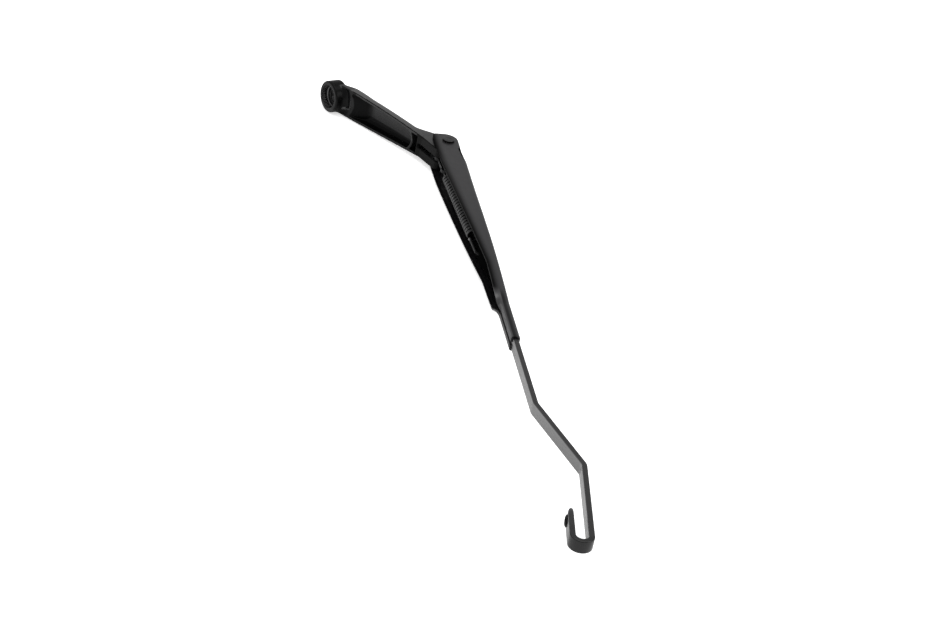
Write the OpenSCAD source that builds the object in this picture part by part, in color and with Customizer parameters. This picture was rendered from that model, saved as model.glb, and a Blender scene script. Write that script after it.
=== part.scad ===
// Windscreen wiper arm: cast head with a spindle boss, sprung hinge, folded sheet channel and hooked strip.
// The origin is the centre of the spindle boss's mouth. X runs towards the hinge, Y away from the glass
// and Z along the hinge axis. The arm is drawn as it lies when nothing holds it, folded down by its spring.

/* [Spindle boss] */
// Outside radius of the boss
boss_r = 13; // [12:0.5:15]
// Height of the boss from its mouth to its rim round the nut
boss_h = 12.5; // [11.5:0.5:16]
// Radius of the recess that drops over the spindle housing
recess_r = 9.3; // [8:0.1:10.5]
// Depth of that recess
recess_d = 5.5; // [4:0.5:6.5]
// Mean radius of the bore that grips the spindle
spindle_r = 5; // [4:0.1:6]
// Height of the nut's seat above the mouth
nut_seat_y = 10; // [9:0.5:10.5]
// Radius of the pocket for the nut
nut_pocket_r = 8.4; // [7.5:0.1:9.5]

/* [Head] */
// Distance of the hinge from the spindle, along the head
hinge_x = 112; // [100:1:150]
// Height of the hinge above the boss's mouth
hinge_y = 43.7; // [40:0.5:50]
// Width of the head beside the boss
head_w = 24.8; // [22:0.2:26]
// Thickness of the head at mid length, over its crown
head_t = 10.2; // [9:0.2:13]
// Thickness of the trough's side walls
head_wall = 2.2; // [1.8:0.1:3]
// Thickness of the plate over the trough
head_plate = 2.6; // [2:0.1:3.5]
// Height of the underside beside the boss
under_y = 10.2; // [9:0.2:11]
// Thickness of the curved rib at the end of the trough
rib_t = 2.2; // [1.6:0.2:3]
// Radius of the fillet where the head's underside meets the boss
foot_r = 4.6; // [3:0.2:5]

/* [Hinge] */
// Radius of the cheeks round the rivet
cheek_r = 7.6; // [7:0.1:8]
// Radius of the nose round the anchor pin
nose_r = 5.2; // [4.5:0.1:5.5]
// Radius of the rivet's shank
rivet_r = 3; // [2.5:0.1:3.4]
// Radius of the rivet's near head
rivet_head_r = 4.8; // [4.2:0.1:6]
// Height of the rivet's near head
rivet_head_h = 1.8; // [1.2:0.1:2.4]
// Wall of the hinge bushes
bush_wall = 0.95; // [0.8:0.05:1.5]
// Thickness of the bushes' flanges
flange_t = 0.7; // [0.5:0.1:1]
// Radius of the bushes' flanges
flange_r = 6.4; // [5.5:0.1:7]
// Angle between the relaxed arm and the plane of the spindle's mouth
fold_rest = 25.3; // [20:0.1:30]
// Running clearance round the pivots
run_gap = 0.05; // [0.03:0.01:0.08]
// Gap left round what is pressed or crimped in place
fit_gap = 0.02; // [0.01:0.01:0.03]

/* [Spring and link] */
// Anchor pin's place beyond the hinge, along the relaxed arm
anchor_x = 10; // [8:0.5:12]
// Anchor pin's depth below the hinge, square to the relaxed arm
anchor_d = 6.6; // [6:0.1:7.5]
// Radius of the anchor pin
anchor_r = 2; // [1.6:0.1:2.4]
// Thickness of the link
link_t = 2.4; // [1.8:0.1:2.6]
// Distance between the link's two holes
link_len = 21; // [18:0.5:24]
// Radius of the link's eye round the anchor pin
link_eye_r = 4.2; // [3.6:0.1:4.4]
// Radius of the link's end round the spring's hook
link_end_r = 3.6; // [3.2:0.1:4]
// Width of the slot for the link
slot_w = 3.6; // [3.2:0.1:4.4]
// Outside diameter of the spring
spring_d = 10; // [9:0.1:11]
// Diameter of the spring's wire
wire_d = 2.2; // [1.8:0.1:2.4]
// Number of turns in the coil
turns = 22; // [18:1:24]
// Distance from one turn to the next
pitch = 4.1; // [3:0.05:4.3]
// Length of the straight wire between the coil and the far hook
far_leg = 22.9; // [14:0.1:30]
// Angle of the spring to the channel
spring_tilt = 3.87; // [3.6:0.01:4.2]

/* [Channel] */
// Thickness of the sheet
sheet_t = 1.2; // [1:0.1:1.6]
// Width over the channel's ears
channel_w = 22; // [21:0.1:23.5]
// Height of the channel's back above the hinge
back_y = 10.2; // [9.8:0.1:11]
// How far the back dips towards the hinge
dip = 1.7; // [0:0.1:2]
// How much the back rises along the taper
back_rise = 1; // [0:0.1:1.5]
// Depth of the walls below the hinge, at the hinge
wall_d = 12; // [9:0.1:12.5]
// Distance from the hinge to the end of the taper
taper_x = 238; // [225:1:260]
// Length of the crimp round the strip
crimp_len = 45; // [35:1:60]

/* [Strip and hook] */
// Width of the strip
strip_w = 9; // [8:0.1:9.6]
// Thickness of the strip
strip_t = 4; // [3:0.1:4.4]
// Radius of the strip's long edges
edge_r = 0.7; // [0.4:0.1:0.9]
// Distance from the hinge to the first bend
bend_x = 362.5; // [320:0.5:420]
// Angle of the raised stretch to the channel
rise_deg = 16.5; // [10:0.5:20]
// Length of the raised stretch
rise_len = 70; // [50:1:90]
// Angle of the stem below the channel's line
stem_deg = 7.7; // [4:0.1:12]
// Length of the stem from the second bend to the hook
stem_len = 76.5; // [60:0.5:100]
// Free gap inside the hook
hook_gap = 8; // [7:0.1:10]
// Length of the hook's short leg
leg_len = 28.5; // [24:0.5:38]
// Radius of the clip hole in the leg
clip_r = 2.7; // [1.5:0.1:2.9]
// Distance of the clip hole from the leg's tip
clip_from_tip = 10.5; // [10:0.5:14]

/* [Hidden] */
$fn = 64;

paint = "#2b2a2d";
steel = "#9a9da2";
polymer = "#d8d5cc";

// Soft step from 0 to 1
function soft(u) = let (t = min(1, max(0, u))) t * t * (3 - 2 * t);
// Point at distance r and angle a
function polar(r, a) = [r * cos(a), r * sin(a)];
// Point of the part at a place given along and square to the relaxed arm, from the hinge
function from_arm(p) = [hinge_x + p[0] * cos(fold_rest) + p[1] * sin(fold_rest),
                        hinge_y - p[0] * sin(fold_rest) + p[1] * cos(fold_rest)];

// Closed skin over rings of points, all with the same count and turning the same way. The rings of
// folded sheet are closed in pairs: each point of the outer face with the one across the sheet.
module skin(rings, sheet = false) {
    n = len(rings[0]);
    m = len(rings);
    points = [for (ring = rings) each ring];
    sides = [for (i = [0 : m - 2], j = [0 : n - 1])
        let (a = i * n + j, b = i * n + (j + 1) % n)
        each [[a, b, b + n], [a, b + n, a + n]]];
    end = (m - 1) * n;
    first = sheet ? [for (k = [0 : n / 2 - 2]) [k, n - 1 - k, n - 2 - k, k + 1]]
                  : [[for (j = [n - 1 : -1 : 0]) j]];
    last = sheet ? [for (k = [0 : n / 2 - 2]) [end + k, end + k + 1, end + n - 2 - k, end + n - 1 - k]]
                 : [[for (j = [0 : n - 1]) end + j]];
    polyhedron(points, concat(first, sides, last), convexity = 8);
}

// Turns a shape drawn round Z so that its axis lies along Y
module along_y() { rotate([-90, 0, 0]) children(); }

// Places what is drawn in the relaxed arm's frame: hinge at the origin, arm along X, back towards Y
module on_arm() { translate([hinge_x, hinge_y, 0]) rotate([0, 0, -fold_rest]) children(); }

// Head
cheek_half = channel_w / 2 - sheet_t - run_gap - flange_t;
bush_r = rivet_r + run_gap + bush_wall;
body_start = 0;
taper_start = 20;
neck_x = hinge_x - 14;
loft_end = hinge_x - 8;
ramp_x = hinge_x - 32;
rib_x = hinge_x - 34;
slot_x = hinge_x - 18;
pocket_end = hinge_x - 19;
trough_start_r = boss_r + foot_r + 0.6;
anchor = from_arm([anchor_x, -anchor_d]);
nose_under = anchor[1] - nose_r;
crown_steps = 16;

// Height of the head's underside edge at x
function under(x) =
    let (u = (x - 16) / (loft_end - 16))
    under_y + (nose_under + 0.6 - under_y) * (u + 0.2 * u * (1 - u));
// Thickness of the head at x, from its underside edge to its crown
function thick(x) =
    head_t - 7 * (1 - soft((x - body_start) / 15))
    + (hinge_y + cheek_r - 2.2 - under(loft_end) - head_t) * soft((x - ramp_x) / (loft_end - ramp_x));
// Half width of the head at x
function half_w(x) =
    let (u = min(1, max(0, (x - taper_start) / (neck_x - taper_start))))
    head_w / 2 + (cheek_half - head_w / 2) * pow(u, 1.5);
// Squareness of the crown at x: fuller by the boss, and flattening into the cheeks
function square_n(x) = 4 + 2.5 * (1 - soft((x - 12) / 24)) + 5 * soft((x - ramp_x) / (neck_x - ramp_x));

// Section of the head at x, made smaller by a wall and a plate: a squared arch over a flat underside
function arch(x, wall, plate, below) =
    let (w = half_w(x) - wall, h = thick(x) - plate, n = square_n(x), y = under(x))
    concat([[x, y - below, w]],
           [for (k = [0 : crown_steps])
               let (a = 180 * k / crown_steps, c = cos(a), s = max(0, sin(a)))
               [x, y + h * pow(s, 2 / n) + (k == 0 || k == crown_steps ? -below / 2 : 0),
                sign(c) * w * pow(abs(c), 2 / n)]],
           [[x, y - below, -w]]);

module head_loft() {
    xs = concat([for (i = [0 : 5]) body_start + 4 * i],
                [for (i = [1 : 5]) body_start + 20 + (ramp_x - body_start - 20) * i / 5],
                [for (i = [1 : 6]) ramp_x + (loft_end - ramp_x) * i / 6]);
    skin([for (x = xs) arch(x, 0, 0, 0.02)]);
}

// Hollow of the trough between two places along the head
module trough(x0, x1) {
    steps = 6;
    skin([for (i = [0 : steps]) arch(x0 + (x1 - x0) * i / steps, head_wall, head_plate, 4)]);
}

// Plan of the trough: straight from the boss, with a rounded end towards the hinge
module trough_plan(grow = 0) {
    translate([rib_x / 2, 0]) square([rib_x, 2 * head_w], center = true);
    translate([rib_x, 0]) scale([0.92, 1]) circle(r = head_w / 2 - head_wall - 1 + grow);
}

// Hollows of the underside: the trough, and a short pocket between its curved rib and the slot
module hollows() {
    shelf = under_y - 0.8;
    slope = 16;
    difference() {
        intersection() {
            trough(body_start + 6, pocket_end);
            translate([0, -5, 0]) along_y() linear_extrude(height = 60) {
                trough_plan();
                difference() {
                    translate([rib_x, -head_w]) square([pocket_end - rib_x, 2 * head_w]);
                    trough_plan(rib_t);
                }
            }
        }
        along_y() rotate_extrude($fn = 96)
            polygon([[0, -6], [trough_start_r, -6], [trough_start_r, shelf],
                     [trough_start_r + slope, shelf + 13], [trough_start_r + slope, 60], [0, 60]]);
    }
}

// Low bar on the underside, from the boss towards the trough
module foot_bar() {
    translate([boss_r - 1.4, under_y - 1.7, -6.2]) rotate([0, -20.4, 0]) cube([9.2, 4, 1.3]);
}

// Fillet that carries the head's underside down to the boss
module boss_foot() {
    base = under_y - 0.6;
    intersection() {
        along_y() rotate_extrude($fn = 96)
            polygon(concat([[0, base - foot_r]],
                           [for (a = [180 : -15 : 90]) [boss_r + foot_r, base - foot_r] + polar(foot_r, a)],
                           [[boss_r + foot_r + 1, base], [boss_r + foot_r + 1, base + 2], [0, base + 2]]));
        translate([0, 0, -head_w / 2]) cube([40, 40, head_w]);
    }
}

module boss() {
    edge = 1.6;
    along_y() rotate_extrude($fn = 96)
        polygon(concat([[0, 0], [boss_r - 0.8, 0], [boss_r, 0.8]],
                       [for (a = [0 : 15 : 90]) [boss_r - edge, boss_h - edge] + polar(edge, a)],
                       [[0, boss_h]]));
}

module boss_bores() {
    along_y() {
        translate([0, 0, -1]) cylinder(h = recess_d + 1, r = recess_r, $fn = 96);
        cylinder(h = boss_h + 20, r = spindle_r, $fn = 96);
        translate([0, 0, nut_seat_y]) cylinder(h = 20, r = nut_pocket_r, $fn = 96);
    }
}

// Side outline of the cheeks: round the rivet, round the anchor pin and straight between
module cheek_outline() {
    pin = [hinge_x, hinge_y];
    reach = norm(pin - anchor);
    slope = atan2(pin[1] - anchor[1], pin[0] - anchor[0]);
    front = slope - acos((nose_r - cheek_r) / reach);
    translate(pin) circle(r = cheek_r);
    translate(anchor) circle(r = nose_r);
    polygon([[neck_x, under(neck_x)], anchor + polar(nose_r, 268), anchor + polar(nose_r, front),
             pin + polar(cheek_r, front), pin + polar(cheek_r, 100), pin + polar(cheek_r, 112),
             [neck_x, under(neck_x) + thick(neck_x) - 1.5]]);
}

module head_casting() {
    color(paint) {
        foot_bar();
        difference() {
            union() {
                head_loft();
                boss();
                boss_foot();
                linear_extrude(height = 2 * cheek_half, center = true) cheek_outline();
            }
            hollows();
            boss_bores();
            translate([slot_x, 0, -slot_w / 2]) cube([60, 80, slot_w]);
            translate([hinge_x, hinge_y, 0]) cylinder(h = 40, r = bush_r + fit_gap, center = true);
            translate([anchor[0], anchor[1], 0]) cylinder(h = 40, r = anchor_r + fit_gap, center = true);
        }
    }
}

// Flanged sleeve in one cheek, from the slot's face to the sheet; side is 1 near and -1 far
module hinge_bush(side) {
    inner = rivet_r + run_gap;
    color(polymer) translate([hinge_x, hinge_y, 0]) mirror([0, 0, side < 0 ? 1 : 0])
        rotate_extrude()
            polygon([[inner, slot_w / 2 + 0.3], [bush_r, slot_w / 2 + 0.3], [bush_r, cheek_half],
                     [flange_r, cheek_half], [flange_r, cheek_half + flange_t],
                     [inner, cheek_half + flange_t]]);
}

module hinge_rivet() {
    face = channel_w / 2;
    far_h = 1.4;
    chamfer = 0.4;
    dome = 0.5;
    color(paint) translate([hinge_x, hinge_y, 0]) rotate_extrude()
        polygon([[0, -face - far_h], [rivet_head_r - 1.4, -face - far_h], [rivet_head_r, -face - dome],
                 [rivet_head_r, -face], [rivet_r, -face], [rivet_r, face],
                 [rivet_head_r, face], [rivet_head_r, face + rivet_head_h - chamfer],
                 [rivet_head_r - chamfer, face + rivet_head_h], [0, face + rivet_head_h]]);
}

module anchor_pin() {
    chamfer = 0.3;
    half = cheek_half - 0.2;
    color(steel) translate([anchor[0], anchor[1], 0]) rotate_extrude()
        polygon([[0, -half], [anchor_r - chamfer, -half], [anchor_r, -half + chamfer],
                 [anchor_r, half - chamfer], [anchor_r - chamfer, half], [0, half]]);
}

// Spring line: it starts on the anchor pin and leans up towards the channel's back
spring_r = (spring_d - wire_d) / 2;
hook_hole_r = wire_d / 2 + 0.6;
loop_r = link_t / 2 + wire_d / 2 + 0.6;
link_hook_x = link_len + loop_r;
coil_x = link_hook_x + 9;
coil_start = 60;
coil_turn = 360 * turns + 150;
coil_end = coil_x + coil_turn / 360 * pitch;
spring_len = coil_end + far_leg;
far_r = strip_t / 2 + wire_d / 2 + 0.4;

// Places what is drawn in the spring's frame: anchor pin at the origin, spring along X
module on_spring() {
    translate([anchor[0], anchor[1], 0]) rotate([0, 0, spring_tilt - fold_rest]) children();
}

module spring_link() {
    waist = 2.5;
    color(steel) on_spring() linear_extrude(height = link_t, center = true) difference() {
        union() {
            circle(r = link_eye_r);
            translate([link_len, 0]) circle(r = link_end_r);
            polygon([[0, -waist], [link_len, -waist], [link_len, waist], [0, waist]]);
        }
        circle(r = anchor_r + run_gap);
        translate([link_len, 0]) circle(r = hook_hole_r);
    }
}

// Strip: centreline in the relaxed arm's frame
web_under = back_y + back_rise - sheet_t;
strip_y = web_under - fit_gap - strip_t / 2;
far_hook_c = [anchor_x, -anchor_d] + polar(spring_len, spring_tilt);
tab_hole_x = far_hook_c[0] + far_r - 0.15;
tab_y = far_hook_c[1];
tab_start = far_hook_c[0] - 3.4;
jog_x0 = tab_hole_x + 8;
jog_x1 = jog_x0 + 10.5;
bend1 = [bend_x, strip_y];
bend2 = bend1 + polar(rise_len, rise_deg);
stem_end = bend2 + polar(stem_len, -stem_deg);
hook_r = (hook_gap + strip_t) / 2;
hook_c = stem_end + polar(hook_r, -stem_deg - 90);
leg_top = stem_end + polar(2 * hook_r, -stem_deg - 90);
leg_tip = leg_top + polar(leg_len, 180 - stem_deg);
clip_c = leg_tip + polar(clip_from_tip, -stem_deg);

// Stations round one bend of a polyline: point, direction, width share and thickness share
function bend(a, v, b, r, n) =
    let (d0 = atan2(v[1] - a[1], v[0] - a[0]), d1 = atan2(b[1] - v[1], b[0] - v[0]),
         turn = d1 - d0, back = r * tan(abs(turn) / 2), side = turn > 0 ? 90 : -90,
         c = v - polar(back, d0) + polar(r, d0 + side))
    [for (i = [0 : n]) let (d = d0 + turn * i / n) [c - polar(r, d + side), d, 1, 1]];

// Ring of the strip's rounded section at a station: point, direction, width share and thickness share
function strip_ring(s) =
    let (n = s[1] + 90, t = s[3] * strip_t / 2 - edge_r, w = s[2] * strip_w / 2 - edge_r)
    [for (q = [0 : 3], k = [0 : 3])
        let (a = 90 * q + 30 * k, u = (q == 0 || q == 3 ? t : -t) + edge_r * cos(a),
             z = (q < 2 ? w : -w) + edge_r * sin(a), p = s[0] + polar(u, n))
        [p[0], p[1], z]];

strip_path = concat(
    [for (e = [[0, 0.78], [1, 0.93], [2.5, 1]]) [[tab_start + e[0], tab_y], 0, e[1], 1]],
    bend([tab_start, tab_y], [jog_x0, tab_y], [jog_x1, strip_y], 8, 3),
    bend([jog_x0, tab_y], [jog_x1, strip_y], bend1, 8, 3),
    bend([jog_x1, strip_y], bend1, bend2, 7, 4),
    bend(bend1, bend2, stem_end, 10, 5),
    [for (i = [0 : 16])
        let (d = -stem_deg - 180 * i / 16) [hook_c + polar(hook_r, d + 90), d, 1, 1]],
    [for (e = [[8.6, 1, 1], [5.5, 0.97, 0.88], [2.4, 0.88, 0.72], [0.8, 0.77, 0.62], [0, 0.62, 0.52]])
        [leg_tip + polar(e[0], -stem_deg) + polar((1 - e[2]) * strip_t / 2, 90 - stem_deg),
         -stem_deg - 180, e[1], e[2]]]);

module arm_strip() {
    color(paint) on_arm() difference() {
        skin([for (s = strip_path) strip_ring(s)]);
        translate([clip_c[0], clip_c[1], 0]) rotate([90, 0, -stem_deg])
            cylinder(h = 4 * strip_t, r = clip_r, center = true);
        translate([tab_hole_x, tab_y, 0]) along_y()
            cylinder(h = 4 * strip_t, r = wire_d / 2 + 0.8, center = true);
    }
}

// Channel: half width, free edge and fold of the sheet along the arm
ear_x = 12;
flat_x = 60;
fold_x0 = taper_x - 12;
fold_x1 = taper_x + 6;
crimp_end = taper_x + crimp_len;
dip_len = 18;
crimp_mid = strip_w / 2 + 0.2 + sheet_t / 2;
fold_r = 1.2;
fold_arc = fold_r * PI / 2;
crimp_drop = strip_t + 2 * fit_gap + sheet_t - fold_r;
lip_len = crimp_mid - fold_r - 1.3;

function mid_y(x) =
    back_y - sheet_t / 2 - dip * (1 - soft((x - ear_x) / dip_len))
    + back_rise * soft((x - flat_x) / (jog_x1 - 3 - flat_x));
function channel_half(x) =
    let (u = min(1, max(0, (x - flat_x) / (taper_x - flat_x))))
    channel_w / 2 - sheet_t / 2 + (crimp_mid - channel_w / 2 + sheet_t / 2) * pow(u, 3);
function sheet_depth(x) =
    let (u = min(1, max(0, (x - 18) / (taper_x - 70))), least = crimp_drop + fold_arc + lip_len)
    least + (mid_y(taper_x) + wall_d - least) * (1 - pow(u, 1.15)) + mid_y(x) - mid_y(taper_x);
function fold_deg(x) = 90 * soft((x - fold_x0) / (fold_x1 - fold_x0));

// Sheet's middle line on the near half, from the back's middle to the free edge: point and outward angle
function sheet_line(x) =
    let (w = channel_half(x), f = fold_deg(x), corner = 1.9 - 0.7 * soft((x - flat_x) / (taper_x - flat_x)),
         my = mid_y(x), y1 = my - crimp_drop, r = f > 0 ? fold_arc / (f * PI / 180) : 0,
         fold = [for (k = [1 : 3]) let (a = f * k / 3)
             f > 0 ? [w - r + r * cos(a), y1 - r * sin(a), -a] : [w, y1 - fold_arc * k / 3, 0]],
         tail = sheet_depth(x) - crimp_drop - fold_arc)
    concat([for (a = [90, 60, 30, 0]) [w - corner + corner * cos(a), my - corner + corner * sin(a), a]],
           [[w, y1, 0]], fold,
           [[fold[2][0] - tail * sin(f), fold[2][1] - tail * cos(f), -f]]);

// Ring of the folded sheet at x: outer face from the near free edge to the far one, then the inner face back
function channel_ring(x) =
    let (near = sheet_line(x), n = len(near),
         outer = [for (p = near) [p[0] + sheet_t / 2 * cos(p[2]), p[1] + sheet_t / 2 * sin(p[2])]],
         inner = [for (p = near) [p[0] - sheet_t / 2 * cos(p[2]), p[1] - sheet_t / 2 * sin(p[2])]])
    concat([for (i = [n - 1 : -1 : 0]) [x, outer[i][1], outer[i][0]]], [for (p = outer) [x, p[1], -p[0]]],
           [for (i = [n - 1 : -1 : 0]) [x, inner[i][1], -inner[i][0]]], [for (p = inner) [x, p[1], p[0]]]);

module ear_outline() {
    ear_r = 9.6;
    heel_r = 3;
    top = back_y - dip - 0.5;
    ear_c = [-1.7, top - ear_r];
    heel_c = ear_c + [heel_r - ear_r + 0.3, heel_r - wall_d + 0.6 - ear_c[1]];
    difference() {
        union() {
            translate(ear_c) circle(r = ear_r);
            translate(heel_c) circle(r = heel_r);
            polygon([[ear_c[0], top], [ear_x - 3, top], [ear_x + 2, top - 0.5], [ear_x + 5, top - 1.5],
                     [ear_x + 5, -wall_d + 0.05], [ear_x, -wall_d], [heel_c[0], heel_c[1] - heel_r],
                     heel_c - [heel_r, 0], ear_c - [ear_r, 0]]);
        }
        circle(r = rivet_r + fit_gap);
    }
}

module arm_channel() {
    open_xs = concat([for (i = [0 : 4]) ear_x + dip_len * i / 4],
                     [for (i = [1 : 10]) ear_x + dip_len + (fold_x0 - ear_x - dip_len) * i / 10]);
    fold_xs = [for (i = [1 : 6]) fold_x0 + (fold_x1 - fold_x0) * i / 6];
    color(paint) on_arm() {
        skin([for (x = concat(open_xs, fold_xs, [crimp_end])) channel_ring(x)], sheet = true);
        for (s = [0, 1])
            mirror([0, 0, s]) translate([0, 0, channel_w / 2 - sheet_t])
                linear_extrude(height = sheet_t) ear_outline();
    }
}

// Spring: centreline of the wire along the spring line, from the link's hook to the far hook
coil_steps = 14;
coil_parts = ceil(coil_turn / 360 * coil_steps);
near_hook = concat(
    [for (x = [5, 2.5]) [link_hook_x + x, 0, -loop_r]],
    [for (a = [-90 : 22.5 : 90]) [link_hook_x - loop_r * cos(a), 0, loop_r * sin(a)]],
    [for (q = [[3, 0, 0], [5.5, 0.1, 4], [7, 0.45, 14], [8.2, 0.85, 34]])
        let (r = loop_r + (spring_r - loop_r) * q[1]) [link_hook_x + q[0], r * sin(q[2]), r * cos(q[2])]]);
coil = [for (i = [0 : coil_parts])
    let (u = i / coil_parts, a = coil_start + coil_turn * u)
    [coil_x + (coil_end - coil_x) * u, spring_r * sin(a), spring_r * cos(a)]];
far_hook = concat(
    [for (q = [[1.1, 0.15, 236], [2.6, 0.55, 257], [4.4, 1, 270]])
        let (r = spring_r + (far_r - spring_r) * q[1]) [coil_end + q[0], r * sin(q[2]), r * cos(q[2])]],
    [[(coil_end + spring_len) / 2, -far_r, 0]],
    [for (a = [-90 : 22.5 : 90]) [spring_len + far_r * cos(a), far_r * sin(a), 0]],
    [[spring_len - 1.2, far_r, 0], [spring_len - 2.5, far_r, 0]]);

// Directions along a polyline, and the wire's rings carried along it without twist
function unit(v) = v / norm(v);
function tangents(p) = [for (i = [0 : len(p) - 1]) unit(p[min(i + 1, len(p) - 1)] - p[max(i - 1, 0)])];
function square_to(n, t) = unit(n - (n * t) * t);
function wire_rings(p, r, sides) =
    let (t = tangents(p))
    [for (i = 0, n = square_to([0, 1, 0], t[0]); i < len(p);
          i = i + 1, n = i < len(p) ? square_to(n, t[i]) : n)
        let (b = cross(t[i], n))
        [for (k = [0 : sides - 1]) p[i] + r * cos(360 * k / sides) * n + r * sin(360 * k / sides) * b]];

module tension_spring() {
    color(steel) on_spring() skin(wire_rings(concat(near_hook, coil, far_hook), wire_d / 2, 8));
}

head_casting();
hinge_bush(1);  // hinge_bush_near
hinge_bush(-1);  // hinge_bush_far
hinge_rivet();
anchor_pin();
spring_link();
tension_spring();
arm_channel();
arm_strip();
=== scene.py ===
# %% [markdown]
# Windscreen wiper arm
#
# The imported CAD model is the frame: it fixes where everything is and how it moves. This script builds the
# smooth looks on top of it: a cast head, folded sheet, bent strip and wound spring, each computed from a
# formula with numpy, and black paint. Lengths are in millimetres until a mesh is made.

# %%
import math

import bmesh
import bpy
import numpy as np
from mathutils import Matrix, Vector


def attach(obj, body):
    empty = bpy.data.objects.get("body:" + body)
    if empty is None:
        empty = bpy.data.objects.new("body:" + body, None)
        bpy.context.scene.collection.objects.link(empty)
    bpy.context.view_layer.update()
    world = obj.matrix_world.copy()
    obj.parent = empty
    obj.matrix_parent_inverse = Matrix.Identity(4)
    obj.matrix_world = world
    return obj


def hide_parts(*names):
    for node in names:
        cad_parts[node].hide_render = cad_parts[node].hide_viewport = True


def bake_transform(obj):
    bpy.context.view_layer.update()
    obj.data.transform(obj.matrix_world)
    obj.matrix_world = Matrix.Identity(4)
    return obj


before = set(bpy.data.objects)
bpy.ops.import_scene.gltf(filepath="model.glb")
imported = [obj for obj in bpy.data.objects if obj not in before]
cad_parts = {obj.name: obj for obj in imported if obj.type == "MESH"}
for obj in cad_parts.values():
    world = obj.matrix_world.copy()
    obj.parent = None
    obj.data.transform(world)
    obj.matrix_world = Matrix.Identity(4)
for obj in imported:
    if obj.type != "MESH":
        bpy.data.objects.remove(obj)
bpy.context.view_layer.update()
MM = 0.001

# %% [markdown]
# Sizes that the looks share with the solids. The arm's own frame has its origin on the hinge, X along the
# relaxed arm and Y towards the back of the channel.

# %%
HINGE = np.array([112.0, 43.7])
FOLD_DEG = 25.3  # from the head's line down to the relaxed arm's
FOLD = math.radians(FOLD_DEG)
ANCHOR_ARM = np.array([10.0, -6.6])  # the anchor pin in the arm's frame
SPRING_TILT = math.radians(3.87)  # the spring's line against the arm's
CHEEK = 9.05  # from the middle plane to the outside of a cheek
SHEET = 1.2  # thickness of the channel's sheet
BACK_Y = 10.2  # outside of the channel's back above the hinge line
STRIP_W, STRIP_T = 9.0, 4.0
STRIP_GAP = 0.02  # between the strip and the sheet round it


def placed(p, turn, at):
    """Points of a frame that is turned about Z and moved, as points of the part."""
    p = np.asarray(p, float)
    c, s = math.cos(turn), math.sin(turn)
    out = p.copy()
    out[..., 0] = at[0] + p[..., 0] * c - p[..., 1] * s
    out[..., 1] = at[1] + p[..., 0] * s + p[..., 1] * c
    return out


def arm_to_part(p):
    """Points in the arm's frame as points of the part."""
    return placed(p, -FOLD, HINGE)


def part_to_arm(p):
    """Points of the part as x, y and z in the arm's frame."""
    c, s = math.cos(FOLD), math.sin(FOLD)
    x, y = p[:, 0] - HINGE[0], p[:, 1] - HINGE[1]
    return x * c - y * s, x * s + y * c, p[:, 2]


ANCHOR = arm_to_part([*ANCHOR_ARM, 0.0])[:2]


def spring_to_part(p):
    """Points in the spring's frame, which starts on the anchor pin, as points of the part."""
    return placed(p, SPRING_TILT - FOLD, ANCHOR)


def soft(u):
    """Soft step: three u squared less two u cubed, held between 0 and 1."""
    t = np.clip(u, 0, 1)
    return t * t * (3 - 2 * t)


def polar(r, deg):
    """A vector of length r at an angle in degrees."""
    return np.array([r * math.cos(math.radians(deg)), r * math.sin(math.radians(deg))])


def circle(c, r, a0, a1, n):
    """Points on an arc, angles in degrees."""
    a = np.radians(np.linspace(a0, a1, n))
    return np.column_stack([c[0] + r * np.cos(a), c[1] + r * np.sin(a)])


# %% [markdown]
# Mesh helpers: a grid of points becomes a mesh of quads, closed round or at the ends where asked, and
# modifiers are applied at once so that what is seen is what is kept.

# %%
def grid_faces(rows, cols, wrap=False):
    """Quads over a grid of rows and columns of points; the last column meets the first where it wraps."""
    i, j = np.meshgrid(np.arange(rows - 1), np.arange(cols if wrap else cols - 1), indexing="ij")
    a, b = i * cols + j, i * cols + (j + 1) % cols
    return np.stack([a, b, b + cols, a + cols], -1).reshape(-1, 4)


def mesh_object(name, points, faces):
    """A mesh object at the origin from points in millimetres and a list of faces."""
    mesh = bpy.data.meshes.new(name)
    mesh.from_pydata((np.asarray(points, float).reshape(-1, 3) * MM).tolist(), [], faces)
    mesh.validate()
    mesh.update()
    obj = bpy.data.objects.new(name, mesh)
    bpy.context.scene.collection.objects.link(obj)
    return obj


def skin(name, rings):
    """A closed skin over rings of points, with a flat face at both ends."""
    m, n = rings.shape[:2]
    faces = grid_faces(m, n, wrap=True)[:, ::-1].tolist()
    ends = [list(range(n)), list(range(m * n - 1, (m - 1) * n - 1, -1))]
    return mesh_object(name, rings, faces + ends)


def lathe(name, profile, steps=96):
    """A profile of radius and height turned round the Z axis; the profile starts and ends on the axis."""
    profile = np.asarray(profile, float)
    a = np.linspace(0, 2 * np.pi, steps, endpoint=False)
    rings = np.stack([profile[:, :1] * np.cos(a), profile[:, :1] * np.sin(a),
                      np.repeat(profile[:, 1:], steps, 1)], -1)
    return skin(name, rings)


def cylinder(name, r, z0, z1, steps):
    """A plain cylinder on the Z axis, between two heights."""
    return lathe(name, [[0, z0], [r, z0], [r, z1], [0, z1]], steps)


def prism(name, outline, z0, z1):
    """A flat outline made solid between two heights."""
    outline = np.asarray(outline, float)
    rings = np.stack([np.column_stack([outline, np.full(len(outline), z)]) for z in (z0, z1)])
    return skin(name, rings)


def move(obj, at=(0, 0, 0), turn=None):
    """Turns and moves the points of an object's mesh, and leaves the object at the origin."""
    matrix = Matrix.Translation(Vector(at) * MM) @ (turn if turn is not None else Matrix.Identity(4))
    obj.data.transform(matrix)
    return obj


ALONG_Y = Matrix.Rotation(math.radians(-90), 4, "X")


def plate(name, outline, y0, y1):
    """A plan outline of x and z made solid between two heights."""
    return move(prism(name, np.asarray(outline, float) * [1, -1], y0, y1), turn=ALONG_Y)


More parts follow.
